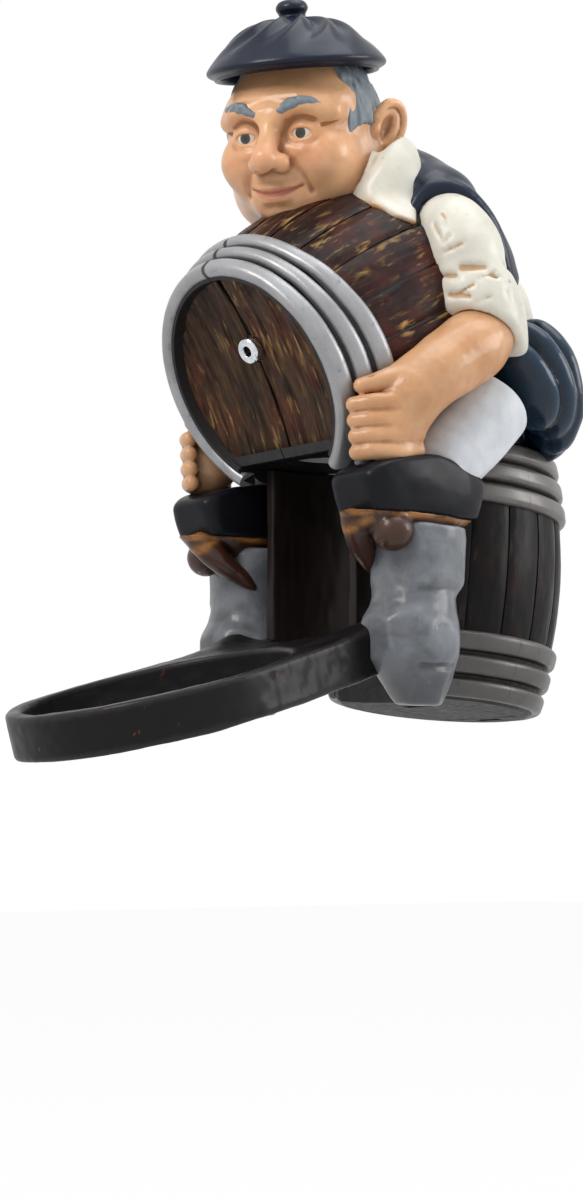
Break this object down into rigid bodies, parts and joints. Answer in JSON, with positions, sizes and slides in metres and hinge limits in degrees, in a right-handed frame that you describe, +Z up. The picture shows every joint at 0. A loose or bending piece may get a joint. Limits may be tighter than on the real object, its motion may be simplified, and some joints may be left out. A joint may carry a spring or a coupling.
{
  "type": "cider pourer",
  "caption": "Bottle-top cider pourer: a seated figure hugs a sloping cask with a spout; pressing its beret runs a pump, and a tilted ring holds the glass.",
  "frame": {"origin": "centre of the bottle-neck bore at its lower mouth", "axes": "+Z up along the bottle's axis, -Y to the front where the spout and the glass ring are, +X to the figure's left"},
  "size_m": [0.124, 0.204, 0.2496],
  "materials": {
    "stave_wood": "painted as dark wood with golden dry-brushing",
    "dark_cask": "painted near-black wood",
    "stone_grey": "painted grey stone",
    "clog_black": "painted black clog with a brown sole",
    "sock_grey": "painted pale grey",
    "breeches_navy": "painted dark navy",
    "vest_navy": "painted dark navy",
    "shirt_white": "painted off-white with a brown wash",
    "skin": "painted skin with an ochre wash",
    "beret_navy": "satin navy-black",
    "ring_brown": "dark brown-black",
    "spout_chrome": "polished",
    "rubber_grey": "matt",
    "hose_clear": "milky silicone",
    "inner_plastic": "plain moulding",
    "gear_plastic": "natural acetal",
    "steel": "bright",
    "magnet": "ferrite",
    "copper": "bare",
    "cell_wrap": "plain wrap"
  },
  "bodies": {
    "casing": {"left_cask_half": "stave_wood", "right_cask_half": "stave_wood", "neck_socket": "inner_plastic", "mouth_seal": "rubber_grey", "spout": "spout_chrome", "spout_nut": "spout_chrome", "delivery_hose": "hose_clear", "suction_hose": "hose_clear", "pump_cover": "inner_plastic", "pump_body": "inner_plastic", "idler_pin": "steel", "pump_screws": "steel", "motor_can": "steel", "motor_magnets": "magnet", "motor_end_cap": "inner_plastic", "motor_bracket": "steel", "neck_shroud": "stave_wood", "rear_cask": "dark_cask", "battery_tray": "inner_plastic", "battery_cells": "cell_wrap", "contact_springs": "steel", "door_hinge_pin": "steel", "left_stone": "stone_grey", "right_stone": "stone_grey", "left_clog": "clog_black", "right_clog": "clog_black", "left_sock": "sock_grey", "right_sock": "sock_grey", "breeches": "breeches_navy", "vest": "vest_navy", "shirt_collar": "shirt_white", "left_sleeve": "shirt_white", "right_sleeve": "shirt_white", "left_forearm": "skin", "right_forearm": "skin", "head_shell": "skin", "rod_guide": "inner_plastic", "button_spring": "steel", "switch_body": "inner_plastic", "glass_ring": "ring_brown", "ring_screws": "steel"},
    "beret": {"beret": "beret_navy", "push_rod": "inner_plastic"},
    "switch_lever": {"switch_lever": "steel"},
    "rotor": {"drive_gear": "gear_plastic", "motor_shaft": "steel", "armature": "copper"},
    "idler": {"idler_gear": "gear_plastic"},
    "battery_door": {"battery_door": "dark_cask", "contact_strips": "copper"}
  },
  "joints": [
    {"name": "beret_press", "type": "slide", "parent": "casing", "child": "beret", "axis": [-0.1159, 0.1928, -0.9744], "range_m": [0, 0.003], "stiffness_N_per_m": 300, "springref_m": -0.004, "deforming": ["button_spring"]},
    {"name": "switch_tilt", "type": "hinge", "parent": "casing", "child": "switch_lever", "pos_m": [-0.00442, -0.00861, 0.10678], "axis": [0.9049, 0.4249, -0.0235], "range_deg": [0, 38]},
    {"name": "pump_spin", "type": "hinge", "parent": "casing", "child": "rotor", "pos_m": [-0.006, -0.00722, 0.05122], "axis": [0, 0.8829, 0.4695], "continuous": true},
    {"name": "idler_spin", "type": "hinge", "parent": "casing", "child": "idler", "pos_m": [0.006, -0.01429, 0.04747], "axis": [0, 0.8829, 0.4695], "continuous": true},
    {"name": "battery_door_hinge", "type": "hinge", "parent": "casing", "child": "battery_door", "pos_m": [0, 0.06553, -0.08202], "axis": [1, 0, 0], "range_deg": [0, 100]}
  ],
  "couplings": [
    {"joint": "switch_tilt", "follows": "beret_press", "rad_per_m": 197.8},
    {"joint": "idler_spin", "follows": "pump_spin", "ratio": -1}
  ]
}
